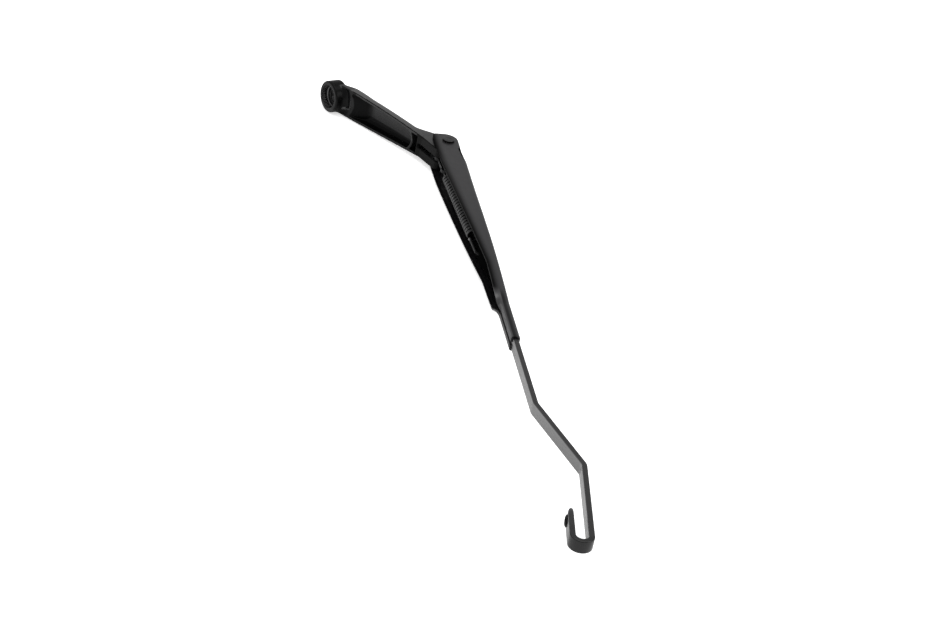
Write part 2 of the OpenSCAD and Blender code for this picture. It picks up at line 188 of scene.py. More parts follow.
def apply_modifiers(obj):
    """Keeps the mesh that the modifiers give and takes the modifiers off."""
    depsgraph = bpy.context.evaluated_depsgraph_get()
    mesh = bpy.data.meshes.new_from_object(obj.evaluated_get(depsgraph))
    obj.modifiers.clear()
    obj.data = mesh
    return obj


def outward(obj):
    """Turns all faces of a closed mesh to look outward."""
    bm = bmesh.new()
    bm.from_mesh(obj.data)
    bmesh.ops.recalc_face_normals(bm, faces=bm.faces)
    bm.to_mesh(obj.data)
    bm.free()
    return obj


def combine(obj, others, how):
    """Joins, cuts or keeps what is common with other solids, and removes them."""
    outward(obj)
    for other in others:
        outward(other)
        step = obj.modifiers.new(how, "BOOLEAN")
        step.operation = how
        step.solver = "EXACT"
        step.object = other
        bpy.context.view_layer.update()
        apply_modifiers(obj)
        bpy.data.objects.remove(other)
    return obj


def round_edges(obj, width, segments=2, angle=40):
    """Rounds the sharp edges of a clean mesh."""
    step = obj.modifiers.new("edges", "BEVEL")
    step.width = width * MM
    step.segments = segments
    step.limit_method = "ANGLE"
    step.angle_limit = math.radians(angle)
    step.harden_normals = False
    bpy.context.view_layer.update()
    return apply_modifiers(obj)


def smooth_by_angle(obj, angle=35):
    """Shades smoothly across edges that turn less than the angle."""
    obj.data.shade_smooth()
    obj.data.set_sharp_from_angle(angle=math.radians(angle))
    return obj


def points_of(obj):
    """Positions in millimetres and normals of an object's vertices."""
    n = len(obj.data.vertices)
    at, normal = np.empty(3 * n), np.empty(3 * n)
    obj.data.vertices.foreach_get("co", at)
    obj.data.vertex_normals.foreach_get("vector", normal)
    return at.reshape(-1, 3) / MM, normal.reshape(-1, 3)


def give_painted_light(obj, values):
    """Stores the painted light at each vertex: 0 leaves the paint as it comes, 1 paints full shade
    with no gloss, below 0 paints more gloss as a painted sheen.
    """
    attribute = obj.data.attributes.new("painted_light", "FLOAT", "POINT")
    attribute.data.foreach_set("value", np.asarray(values, np.float32))


def finish_piece(obj, material, body, slot, *nodes):
    """Gives a piece its material and its body, and hides the CAD nodes that it stands for. The slot is not
    used.
    """
    obj.data.materials.clear()
    obj.data.materials.append(material)
    if body:
        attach(obj, body)
    if nodes:
        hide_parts(*nodes)
    print(obj.name, len(obj.data.polygons), "faces")
    return obj


# %% [markdown]
# Materials, in object coordinates with their scales in millimetres. A pixel is 0.6 to 0.8 mm wide where
# the arm lies. The orange peel of sprayed paint is 1 to 2 mm wide, which shows as it is, but its few
# micrometres of height would not, so the bump is drawn several times higher. The grain of the steels and
# of the polymer is much finer than a pixel, and is drawn 0.5 mm wide, just coarse enough to break a glint.

# %%
PAINTED_SHADE = "#060606"  # painted shade: the colour mixed in where hollows and faces turned from the light are darkened
PATCH_MM = 6.0  # the film of paint or oil is a little thicker and thinner over such patches
PATCH_LOW, PATCH_HIGH = 0.3, 0.7  # the share of the noise that runs from one end of the gloss to the other


def linear(hex_code):
    """The linear colour of an sRGB code."""
    v = np.array([int(hex_code[i:i + 2], 16) for i in (1, 3, 5)]) / 255
    out = np.where(v <= 0.04045, v / 12.92, ((v + 0.055) / 1.055) ** 2.4)
    return (*out.tolist(), 1.0)


def wire(node, inputs):
    """Sets the inputs of a node, each to a value or by a link from another node's output."""
    for key, value in inputs.items():
        if isinstance(value, bpy.types.NodeSocket):
            node.id_data.links.new(value, node.inputs[key])
        else:
            node.inputs[key].default_value = value
    return node


def add(tree, kind, inputs=None, **settings):
    """Adds a node of a kind, with its settings and its inputs."""
    node = tree.nodes.new("ShaderNode" + kind)
    for key, value in settings.items():
        setattr(node, key, value)
    return wire(node, inputs or {})


def painted(name, colour, rough, spread, grain_mm, bump_mm, metallic=0.0, specular=0.5):
    """A finish with a fine grain in height, and patches a few millimetres wide that are more or less
    glossy. Where the vertex value of painted light is above 0, gloss fades out and the colour turns to the
    painted shade; below 0, the gloss grows into a painted sheen."""
    mat = bpy.data.materials.new(name)
    mat.use_nodes = True
    tree = mat.node_tree
    # The vertex value of painted light: painted shade above 0, a painted sheen below 0.
    painted_light = add(tree, "Attribute", attribute_name="painted_light").outputs["Fac"]
    place = add(tree, "TexCoord").outputs["Object"]
    # The specular level falls to nothing under full painted shade and rises for a painted sheen.
    gloss = add(tree, "Math", {0: painted_light, 1: -specular, 2: specular}, operation="MULTIPLY_ADD")
    painted_shade_tint = add(tree, "Mix", {"Factor": painted_light, "A": linear(colour), "B": linear(PAINTED_SHADE)}, data_type="RGBA")
    patches = add(tree, "TexNoise", {"Vector": place, "Scale": 1 / (PATCH_MM * MM), "Detail": 4})
    rough_map = add(tree, "MapRange", {
        "Value": patches.outputs["Fac"], "From Min": PATCH_LOW, "From Max": PATCH_HIGH,
        "To Min": rough - spread, "To Max": rough + spread})
    grain = add(tree, "TexNoise", {"Vector": place, "Scale": 1 / (grain_mm * MM), "Detail": 3})
    bump = add(tree, "Bump", {"Height": grain.outputs["Fac"], "Distance": bump_mm * MM})
    # The plain colour stays on the socket under the link, for what doesn't follow links.
    shader = wire(tree.nodes["Principled BSDF"], {"Base Color": linear(colour), "Metallic": metallic})
    wire(shader, {"Base Color": painted_shade_tint.outputs["Result"], "Specular IOR Level": gloss.outputs["Value"],
                  "Roughness": rough_map.outputs["Result"], "Normal": bump.outputs["Normal"]})
    return mat


# Gloss enamel sprayed on a die casting: nearly black, with broken glints from the casting's own skin.
CAST_PAINT = painted("gloss_black_paint_on_casting", "#121213", 0.27, 0.06, 0.9, 0.030, specular=0.5)
# Satin enamel on folded sheet: a calm dark grey, with one wide sheen along the wall.
SHEET_PAINT = painted("satin_black_paint_on_sheet", "#1a191b", 0.36, 0.04, 1.4, 0.012, specular=0.45)
# Gloss enamel on rolled bar, the smoothest of them: faces turned to the light show a clear mid grey,
# made lighter by a painted reflection on the strip's vertices.
STRIP_PAINT = painted("gloss_black_paint_on_strip", "#141315", 0.26, 0.04, 1.6, 0.010, specular=0.9)
# Drawn wire, oil-tempered to a black oxide skin, so hardly metallic: a fine light line along each turn,
# strengthened by a painted highlight.
SPRING_STEEL = painted("oiled_spring_steel", "#0e0e0f", 0.26, 0.06, 0.5, 0.006, metallic=0.1, specular=0.4)
# Stamped and turned steel with a phosphate skin: dark and dry, with hardly a glint.
LINK_STEEL = painted("phosphated_steel", "#121213", 0.35, 0.06, 0.5, 0.010, metallic=0.2, specular=0.3)
# Moulded acetal: off-white and waxy, a thin pale rim between the black cheek and the black ear.
POLYMER = painted("pale_bush_polymer", "#c9c4b6", 0.5, 0.04, 0.6, 0.006)

# %% [markdown]
# The head. Its body is a loft of squared arches, widest by the boss and swelling into the hinge cheeks.
# Boss, cheeks and hollows are joined and cut as solids, then one fine skin is drawn over the whole and
# relaxed, which gives the rounded edges of a die casting.

# %%
BOSS_R, BOSS_H, BOSS_EDGE, MOUTH_EDGE = 13.0, 12.5, 1.6, 0.8  # the boss, its rounding and its chamfer
FOOT_R, FOOT_Y = 4.6, 9.6  # the fillet from the boss to the underside
BODY_START, LOFT_END = 0.0, 104.0  # both ends of the loft along the head
RAMP_X, NECK_X = 80.0, 98.0  # where the body starts to swell, and where it is as narrow as the cheeks
HEAD_T, HEAD_HALF = 10.2, 12.4  # thickness to the crown, and half the width
CHEEK_R, NOSE_R = 7.6, 5.2  # round ends about the hinge and about the anchor pin
UNDER_X, UNDER_Y, UNDER_BOW = 16.0, 10.2, 0.2  # where the underside starts to rise, and its bow
TAPER_START = 20.0  # from here the head gets narrower
NOSE_SINK, CHEEK_SINK = 0.6, 2.2  # how far the loft's end lies inside the cheeks' outline
START_SLIM, START_LEN = 7.0, 15.0  # the loft is this much thinner in the boss, and over this length
WALL, CROWN_WALL, POCKET_END = 2.2, 2.6, 93.0  # wall at the sides and at the crown, end of the pockets
TROUGH_X, TROUGH_HALF, RIB_T = 78.0, HEAD_HALF - 3.0 - 0.2, 2.2  # the trough's round end, the rib past it
DRUM = ((18.2, 9.4), (34.2, 22.4))  # radius and height at both ends of the slope behind the boss
RECESS_R, RECESS_Y, BORE_R = 9.3, 5.5, 5.0  # what drops over the spindle's housing, and the spindle's bore
SEAT_R, SEAT_Y = 8.4, 10.0  # the pocket round the nut, and the height of its floor
SLOT_X, SLOT_HALF = 94.0, 1.8  # the slot between the cheeks that the link swings in
PIN_BORE, ANCHOR_BORE = 4.02, 2.02  # radii of the bushes' seats and of the anchor pin's
BAR_L, BAR_T = 9.2, 1.3  # the rib in the trough, behind the boss, which gets a painted highlight
BAR_AT, BAR_TURN = (11.6, 8.5, -6.2), math.radians(-20.4)
SKIN_MM, RELAX = 0.42, 6  # the fine skin's pitch, and how often it is relaxed
RIPPLES, RIPPLE = 36, 0.22  # waves round the recess's wall that stand for its serrations


def under(x):
    """Height of the underside edge: rises with x, a little faster at first."""
    u = (x - UNDER_X) / (LOFT_END - UNDER_X)
    return UNDER_Y + (ANCHOR[1] - NOSE_R + NOSE_SINK - UNDER_Y) * (u + UNDER_BOW * u * (1 - u))


def thick(x):
    """Thickness to the crown: thin at the boss, even along the body, swelling to the cheeks."""
    swell = HINGE[1] + CHEEK_R - CHEEK_SINK - under(np.float64(LOFT_END)) - HEAD_T
    slim = START_SLIM * (1 - soft((x - BODY_START) / START_LEN))
    return HEAD_T - slim + swell * soft((x - RAMP_X) / (LOFT_END - RAMP_X))


def half_width(x):
    """Half width: constant by the boss, then falling with the power one and a half to the neck."""
    u = np.clip((x - TAPER_START) / (NECK_X - TAPER_START), 0, 1)
    return HEAD_HALF + (CHEEK - HEAD_HALF) * u ** 1.5


def arch_rings(x0, x1, count, wall=0.0, crown=0.0, below=0.02, steps=72):
    """Rings of the squared arch: height goes with the 2/n power of the sine, width with that of the cosine.
    The power n, which makes the arch more or less square, is 6.5 at the boss, 4 along the body and 9 at
    the neck."""
    x = np.linspace(x0, x1, count)[:, None]
    a = np.linspace(0, np.pi, steps)[None, :]
    c, s = np.cos(a), np.clip(np.sin(a), 0, None)
    n = 4 + 2.5 * (1 - soft((x - 12) / 24)) + 5 * soft((x - RAMP_X) / (NECK_X - RAMP_X))
    w, h, y0 = half_width(x) - wall, thick(x) - crown, under(x)
    y = y0 + h * s ** (2 / n)
    z = np.sign(c) * w * np.abs(c) ** (2 / n)
    foot = np.stack([x, y0 - below, w], -1)
    far = np.stack([x, y0 - below, -w], -1)
    body = np.stack([np.repeat(x, steps, 1), y, z], -1)
    body[:, [0, -1], 1] -= below / 2
    return np.concatenate([foot, body, far], 1)


def cheek_outline():
    """Round the nose, along the tangent of the two circles, round the hinge and back to the neck."""
    reach = np.linalg.norm(HINGE - ANCHOR)
    slope = math.degrees(math.atan2(HINGE[1] - ANCHOR[1], HINGE[0] - ANCHOR[0]))
    front = slope - math.degrees(math.acos((NOSE_R - CHEEK_R) / reach))
    neck = np.float64(NECK_X)
    neck_y = float(under(neck))
    return np.concatenate([
        [[NECK_X, neck_y]], circle(ANCHOR, NOSE_R, -92, front, 24), circle(HINGE, CHEEK_R, front, 108, 32),
        [[NECK_X, neck_y + float(thick(neck)) - 1.0]]])


def trough_plan(grow):
    """Plan of the trough: straight from the boss, with a rounded end towards the hinge."""
    a = np.radians(np.linspace(90, -90, 48))
    r = TROUGH_HALF + grow
    end = np.column_stack([TROUGH_X + 0.92 * r * np.cos(a), r * np.sin(a)])[1:-1]
    return np.concatenate([[[-10, -30], [-10, 30], [TROUGH_X, 30], [TROUGH_X, r]], end,
                           [[TROUGH_X, -r], [TROUGH_X, -30]]])


def spindle_drum():
    """The drum round the spindle's axis, and the slope behind it, that the trough stays clear of."""
    (r0, y0), (r1, y1) = DRUM
    profile = [[0, -6], [r0, -6], [r0, y0], [r1, y1], [r1, 60], [0, 60]]
    return move(lathe("drum", profile, 128), turn=ALONG_Y)


head = skin("head_body", arch_rings(BODY_START, LOFT_END, 100))
boss_profile = np.concatenate([
    [[0, 0], [BOSS_R - MOUTH_EDGE, 0], [BOSS_R, MOUTH_EDGE]],
    circle((BOSS_R - BOSS_EDGE, BOSS_H - BOSS_EDGE), BOSS_EDGE, 0, 90, 7), [[0, BOSS_H]]])
foot_profile = np.concatenate([
    [[0, FOOT_Y - FOOT_R]], circle((BOSS_R + FOOT_R, FOOT_Y - FOOT_R), FOOT_R, 180, 90, 10),
    [[BOSS_R + FOOT_R + 1, FOOT_Y], [BOSS_R + FOOT_R + 1, FOOT_Y + 2], [0, FOOT_Y + 2]]])
boss = move(lathe("boss", boss_profile, 128), turn=ALONG_Y)
foot = move(lathe("foot", foot_profile), turn=ALONG_Y)
keep = plate("keep", [[0, -HEAD_HALF], [40, -HEAD_HALF], [40, HEAD_HALF], [0, HEAD_HALF]], 0, 14)
combine(foot, [keep], "INTERSECT")
combine(head, [boss, foot, prism("cheeks", cheek_outline(), -CHEEK, CHEEK)], "UNION")

pocket_1 = skin("pocket_1", arch_rings(6, POCKET_END, 80, WALL, CROWN_WALL, 4))
combine(pocket_1, [plate("inside", trough_plan(0), -6, 60)], "INTERSECT")
combine(pocket_1, [spindle_drum()], "DIFFERENCE")
pocket_2 = skin("pocket_2", arch_rings(TROUGH_X + 0.5, POCKET_END, 20, WALL, CROWN_WALL, 4))
combine(pocket_2, [plate("outside", trough_plan(RIB_T), -6, 60)], "DIFFERENCE")
combine(head, [
    pocket_1, pocket_2,
    move(cylinder("recess", RECESS_R, 0, RECESS_Y + 1, 128), at=(0, -1, 0), turn=ALONG_Y),
    move(cylinder("bore", BORE_R, 0, 40, 96), at=(0, -1, 0), turn=ALONG_Y),
    move(cylinder("seat", SEAT_R, 0, 20, 128), at=(0, SEAT_Y, 0), turn=ALONG_Y),
    prism("slot", [[SLOT_X, 0], [140, 0], [140, 80], [SLOT_X, 80]], -SLOT_HALF, SLOT_HALF),
    move(cylinder("pin_hole", PIN_BORE, -20, 20, 64), at=(*HINGE, 0)),
    move(cylinder("anchor_hole", ANCHOR_BORE, -20, 20, 48), at=(*ANCHOR, 0))], "DIFFERENCE")
bar = prism("bar", [[0, 0], [BAR_L, 0], [BAR_L, 4], [0, 4]], 0, BAR_T)
combine(head, [move(bar, at=BAR_AT, turn=Matrix.Rotation(BAR_TURN, 4, "Y"))], "UNION")

cast = head.modifiers.new("cast", "REMESH")
cast.mode = "VOXEL"
cast.voxel_size = SKIN_MM * MM
cast.use_smooth_shade = True
relax = head.modifiers.new("relax", "SMOOTH")
relax.factor = 0.5
relax.iterations = RELAX
bpy.context.view_layer.update()
apply_modifiers(head)
head.data.shade_smooth()


def head_painted_light(at, normal):
    """Painted shade in the hollows and on faces turned down, a painted sheen on the near side, and
    painted glints on the recess's wall and the rib. Each row goes over those before.
    """
    x, y, z = at.T
    down, near = -normal[:, 1], normal[:, 2]
    r = np.hypot(x, z)
    on_boss = r < BOSS_R + 0.2
    inside = (np.abs(z) < half_width(x) - 1.2) & (y > under(x) + 0.4) & (y < under(x) + thick(x) - 1.3)
    inside &= (x > 5) & (x < NECK_X) & (r > BOSS_R + 0.2)
    near_part = soft((z + 4.6) / 1.2) * soft((x - 30) / 8)
    bar_x, bar_z = x - BAR_AT[0], z - BAR_AT[2]
    off_bar = np.abs(bar_x * math.sin(BAR_TURN) + bar_z * math.cos(BAR_TURN) - BAR_T / 2)
    near_rim = (z > 0) & (down > 0.15) & (down < 0.93) & (near > 0.2) & (x > 18)
    by_foot = (r > BOSS_R + 0.2) & (r < 19.5) & (np.abs(z) < 11) & (y < 9.8) & (x > 0)
    # Painted shade on faces turned down, and a painted sheen on the near side that fades towards the hinge.
    out = 0.55 * soft((down - 0.2) / 0.5) - 1.8 * soft((near - 0.5) / 0.4) * (x > 15) * soft((112 - x) / 40)
    # Each row paints shade on its region where its value is above 0, and a highlight where it is below 0.
    for where, value in (
            ((z > 0) & (down > 0.9) & (x > 22) & (x < 96), 0.1),  # flat edge of the near wall
            (near_rim, 1.0),  # the rounding between it and the near side
            ((x > 92) & (down > 0.3), 0.85),  # underside of the nose
            (inside, 0.87 + near_part * (-0.42 - 0.03 * (z + 4))),  # trough, lighter on the lit side
            (on_boss & (y > MOUTH_EDGE), 0.85),  # the boss's side
            (on_boss & (y < MOUTH_EDGE), 0.75 - 0.35 * soft((-z - 5) / 4)),  # its mouth
            ((r < 9.5) & (y < 10.2) & (y > 0.4), 0.6),  # inside the recess
            ((r > 8.6) & (r < 9.6) & (y < 6.3) & (y > 0.3), -2.5),  # painted glints on its wall
            (by_foot, 0.8),  # the fillet at the boss's foot
            ((off_bar < 0.95) & (r > 13.4) & (x > 10) & (x < 21) & (y < 9.3), -0.8)):  # painted highlight on the rib
        out = np.where(where, value, out)
    return out


at, normal = points_of(head)
give_painted_light(head, head_painted_light(at, normal))
x, y, z = at.T
r = np.hypot(x, z)
serrated = (r > 8.6) & (r < 9.9) & (y > 0.9) & (y < 5.0)
push = RIPPLE * np.sin(RIPPLES * np.arctan2(z, x)) * serrated
at[:, 0] += push * x / np.maximum(r, 1)
at[:, 2] += push * z / np.maximum(r, 1)
head.data.vertices.foreach_set("co", (at * MM).ravel())
head.data.update()
finish_piece(head, CAST_PAINT, "head", "black_paint", "head_casting")

# %% [markdown]
# The rivet, a turned shape on the hinge axis with a low domed head on each side.

# %%
RIVET_R, RIVET_FACE, RIVET_HEAD = 3.0, 11.0, 4.8  # the shank, the ears' outside and the near head
dome = [[RIVET_HEAD - 0.45 + 0.45 * math.cos(t), RIVET_FACE + 1.25 + 0.35 * math.sin(t)]
        for t in np.linspace(0.1, math.pi / 2, 7)]
far_head = [[0, 1.3], [3.4, 1.3], [4.4, 0.9], [4.7, 0.3], [4.7, 0], [RIVET_R, 0]]
near_head = [[RIVET_R, 0], [RIVET_HEAD - 0.1, 0], [RIVET_HEAD, 0.1], [RIVET_HEAD, 1.25]]
dish = [[3.0, 1.66], [2.2, 1.72], [1.9, 1.55], [0, 1.45]]
profile = ([[r, -RIVET_FACE - h] for r, h in far_head] + [[r, RIVET_FACE + h] for r, h in near_head] + dome
           + [[r, RIVET_FACE + h] for r, h in dish])
rivet = move(lathe("rivet", profile, 72), at=(*HINGE, 0))
smooth_by_angle(outward(rivet), 40)
at, normal = points_of(rivet)
give_painted_light(rivet, np.where(at[:, 2] < 12.3, 0.9, 0.1))  # painted shade on all but the near head's top
finish_piece(rivet, SHEET_PAINT, "arm", "black_paint", "hinge_rivet")

# %% [markdown]
# The channel, one folded sheet. A point of the sheet is given by its place along the arm and its share of
# the way round the section: back, corner bend, wall, fold and lip. At the hinge the walls end in round
# ears, so the first stretch is ruled between the ears' outline and a full section.

# %%
EAR_X, CRIMP_END = 12.0, 283.0  # the back's first place past the ears, and the sheet's end
FLAT_X, TAPER_X = 60.0, 238.0  # the sheet gets narrower between these
FOLD_X0, FOLD_X1 = TAPER_X - 12, TAPER_X + 6  # the free edges fold in between these
RULE_X = 34.0  # end of the ruled stretch
START_HALF, CRIMP_MID = 10.4, 5.3  # half the width behind the ears and at the crimp, to the sheet's middle
WALL_D, DEPTH_X0, DEPTH_X1 = 12.0, 18.0, TAPER_X - 52  # the walls' depth, which falls between these
DIP, DIP_L, RISE, RISE_X = 1.7, 18.0, 1.0, 176.2  # the back dips behind the ears and then rises
BEND_R, BEND_LESS, FOLD_R = 1.9, 0.7, 1.2  # bend from back to wall, less at the crimp, and the fold's
SHEET_EDGE = 0.28  # rounding of the cut edges
MID_Y = BACK_Y - SHEET / 2
FOLD_ARC = FOLD_R * math.pi / 2
DROP = STRIP_T + 2 * STRIP_GAP + SHEET - FOLD_R  # from the back down to the fold
LIP = CRIMP_MID - FOLD_R - 1.3
EAR_C, EAR_R, EAR_TOP = (-1.7, -1.6), 9.6, BACK_Y - DIP - 0.5
HEEL_C, HEEL_R = (-8.0, 3.6 - WALL_D), 3.0  # the ear's lower corner
BACK_X, TOP_X = 13.0, 12.2  # where the back and the ear's top begin
N_WEB, N_BEND, N_WALL, N_FOLD, N_LIP = 10, 9, 16, 9, 6  # points on each part of the section
N_RULE, N_OPEN, N_TURN, N_CRIMP = 14, 90, 30, 12  # sections in each stretch


def sheet_half(x):
    """Middle line of the sheet on the near half at each place x: points (z, y) and their outward angle.
    The half width shrinks with the cube of the way along; the wall's depth shrinks with the power 1.15.
    The fold is an arc of constant length whose angle grows from 0 to 90 degrees."""
    x = np.asarray(x, float)[:, None]
    u = np.clip((x - FLAT_X) / (TAPER_X - FLAT_X), 0, 1)
    w = START_HALF + (CRIMP_MID - START_HALF) * u ** 3
    corner = BEND_R - BEND_LESS * soft(u)
    v = np.clip((x - DEPTH_X0) / (DEPTH_X1 - DEPTH_X0), 0, 1)
    least = DROP + FOLD_ARC + LIP
    back = MID_Y - DIP * (1 - soft((x - EAR_X) / DIP_L)) + RISE * soft((x - FLAT_X) / (RISE_X - FLAT_X))
    depth = least + (MID_Y + RISE + WALL_D - least) * (1 - v ** 1.15) + back - MID_Y - RISE
    fold = np.pi / 2 * soft((x - FOLD_X0) / (FOLD_X1 - FOLD_X0))
    y1 = back - DROP
    s = np.linspace(0, 1, N_WEB)[None, :]
    web = [(w - corner) * s, back + 0 * s, np.pi / 2 + 0 * s * w]
    s = np.linspace(1, 0, N_BEND)[None, 1:]
    a = s * np.pi / 2 + 0 * w
    bend = [w - corner + corner * np.cos(a), back - corner + corner * np.sin(a), a]
    s = np.linspace(0, 1, N_WALL)[None, 1:]
    wall = [w + 0 * s, back - corner + (y1 - back + corner) * s, 0 * s * w]
    s = np.linspace(0, 1, N_FOLD)[None, 1:]
    a = fold * s
    r = FOLD_ARC / np.maximum(fold, 1e-4)
    arc = [w - r * (1 - np.cos(a)), y1 - np.where(fold > 1e-3, r * np.sin(a), FOLD_ARC * s), -a]
    tail = depth - DROP - FOLD_ARC
    s = np.linspace(0, 1, N_LIP)[None, 1:]
    end_z, end_y = arc[0][:, -1:], arc[1][:, -1:]
    lip = [end_z - tail * s * np.sin(fold), end_y - tail * s * np.cos(fold), -fold + 0 * s]
    z, y, a = [np.concatenate(q, 1) for q in zip(web, bend, wall, arc, lip)]
    return z, y, a


def ear_edge(count):
    """Points at even steps along the ear's outline: its straight top, the round ear, the heel and below."""
    top_x = np.linspace(TOP_X, 9.0, 4)
    line = np.concatenate([
        np.column_stack([top_x, EAR_TOP - np.array([0.35, 0.15, 0.04, 0])])[1:],
        np.column_stack([np.linspace(9.0, EAR_C[0], 6)[1:], np.full(5, EAR_TOP)]),
        circle(EAR_C, EAR_R, 90, 180, 26)[1:], circle(HEEL_C, HEEL_R, 180, 262, 12),
        np.column_stack([np.linspace(-6, 6, 5)[1:], np.linspace(0.4, 0.1, 4) - WALL_D])])
    way = np.concatenate([[0], np.cumsum(np.linalg.norm(np.diff(line, axis=0), axis=1))])
    even = np.linspace(0, way[-1], count)
    return np.interp(even, way, line[:, 0]), np.interp(even, way, line[:, 1])


x_all = np.concatenate([np.linspace(RULE_X, FOLD_X0, N_OPEN), np.linspace(FOLD_X0, FOLD_X1, N_TURN)[1:],
                        np.linspace(FOLD_X1, CRIMP_END, N_CRIMP)[1:]])
z_mid, y_mid, angle = sheet_half(x_all)
x_mid = np.repeat(x_all[:, None], z_mid.shape[1], 1)
n_back = N_WEB + N_BEND - 1
ear_x, ear_y = ear_edge(z_mid.shape[1] - n_back)
start_z, start_y, start_a = sheet_half(np.array([EAR_X + 0.5]))
start_x = np.concatenate([np.full(N_WEB, BACK_X), np.linspace(BACK_X, TOP_X, N_BEND)[1:], ear_x])
start_y = np.concatenate([start_y[0, :n_back], ear_y])
rule = np.linspace(0, 1, N_RULE)[:-1, None]
X, Y, Z, A = [np.concatenate([start + (full[0] - start) * rule, full]) for start, full in (
    (start_x, x_mid), (start_y, y_mid), (start_z[0], z_mid), (start_a[0], angle))]


def both_sides(offset):
    """The near half, offset along the sheet's normal, with its mirror image, from far edge to near edge."""
    near = np.stack([X, Y + offset * np.sin(A), Z + offset * np.cos(A)], -1)
    far = near[:, :0:-1] * [1, 1, -1]
    return np.concatenate([far, near], 1)


outer, inner = both_sides(SHEET / 2), both_sides(-SHEET / 2)
rows, cols = outer.shape[:2]
rings = np.concatenate([outer, inner[:, ::-1]], 1)
k = np.arange(cols - 1)
cap = np.stack([k, k + 1, 2 * cols - 2 - k, 2 * cols - 1 - k], -1)
faces = np.concatenate([grid_faces(rows, 2 * cols, wrap=True), cap[:, ::-1], cap + (rows - 1) * 2 * cols])
channel = mesh_object("channel", arm_to_part(rings), faces.tolist())
outward(channel)
round_edges(channel, SHEET_EDGE, 3, 50)
smooth_by_angle(channel, 45)


def channel_painted_light(at, normal):
    """Painted shade on the inside and along the free edge, and on the crimp's faces turned down; at the
    fold a painted highlight on its ridge, with a band of painted shade above it.
    """
    x, y, z = part_to_arm(at)
    free_y = np.interp(x, X[:, -1], Y[:, -1])
    inside = (np.sign(z) * normal[:, 2] < -0.3) | ((normal[:, 1] < -0.3) & (y > 0))
    open_part = 1 - soft((x - FOLD_X0 + 8) / 14)
    by_edge = 0.97 - 0.97 * soft((y - free_y - 0.6) / 6)
    high = y - (BACK_Y - SHEET / 2 + RISE - DROP - FOLD_R - SHEET / 2)  # above the crimp's lower face
    ridge = (1 - soft((high - 0.8) / 0.6)) * soft((normal[:, 2] - 0.15) / 0.3)
    band = 0.75 * soft((high - 1.0) / 0.6) * (1 - soft((high - 2.6) / 2.4)) - 1.2 * ridge
    below = 0.5 * soft((-normal[:, 1] - 0.7) / 0.25)
    out = np.where(inside & (y > free_y + 1), 0.5, by_edge) * open_part
    return out + (band + below) * (1 - open_part)


give_painted_light(channel, channel_painted_light(*points_of(channel)))
finish_piece(channel, SHEET_PAINT, "arm", "black_paint", "arm_channel")

# %% [markdown]
# The strip: a rounded rectangle swept along straight stretches and arcs, ending in the hook.

# %%
EDGE_R = 0.7  # rounded corners of the bar
SPRING_LEN = 147.7  # between the spring's two hooks
BEND_X, CRANK_L, CRANK_DEG = 362.5, 70.0, 16.5  # the two bends before the hook
STEM_L, STEM_DEG, HOOK_R, LEG_L = 76.5, -7.7, 6.0, 28.5  # the hook, its radius to the strip's middle
OUT_DEG, LEG_DEG = STEM_DEG - 90, STEM_DEG + 180  # from the stem across to the leg, and along the leg
CLIP_FROM_TIP, CLIP_R, COLLAR_R = 10.5, 2.7, 4.15  # the hole in the leg for the blade's clip
TAB_END, TAB_HOLE, TAB_HOLE_R = 3.4, 3.35, 1.9  # before and behind the far hook's centre
JOG_0, JOG_1 = 8.0, 18.5  # from the tab's hole to the two corners that lift the strip to the back
TIP_L = 8.6  # the length over which the leg narrows to its tip

strip_y = BACK_Y + RISE - SHEET - STRIP_GAP - STRIP_T / 2
far_c = ANCHOR_ARM + SPRING_LEN * np.array([math.cos(SPRING_TILT), math.sin(SPRING_TILT)])
tab_y, tab_x0, hole_x = far_c[1], far_c[0] - TAB_END, far_c[0] + TAB_HOLE
bend_1 = np.array([BEND_X, strip_y])
bend_2 = bend_1 + polar(CRANK_L, CRANK_DEG)
stem_end = bend_2 + polar(STEM_L, STEM_DEG)
hook_c = stem_end + polar(HOOK_R, OUT_DEG)
leg_top = stem_end + polar(2 * HOOK_R, OUT_DEG)
leg_tip = leg_top + polar(LEG_L, LEG_DEG)
clip_c = leg_tip + polar(CLIP_FROM_TIP, STEM_DEG)


def bend(a, v, b, r, n=14):
    """Stations on the arc of radius r that rounds the corner v of a polyline."""
    d0 = math.degrees(math.atan2(*(v - a)[::-1]))
    turn = math.degrees(math.atan2(*(b - v)[::-1])) - d0
    side = 90 if turn > 0 else -90
    c = v - polar(r * math.tan(math.radians(abs(turn) / 2)), d0) + polar(r, d0 + side)
    return [(*(c - polar(r, d0 + turn * i / n + side)), d0 + turn * i / n, 1, 1) for i in range(n + 1)]


def straight(a, b, deg, n):
    """Stations between two points, with neither end."""
    return [(*(a + (b - a) * i / n), deg, 1, 1) for i in range(1, n)]


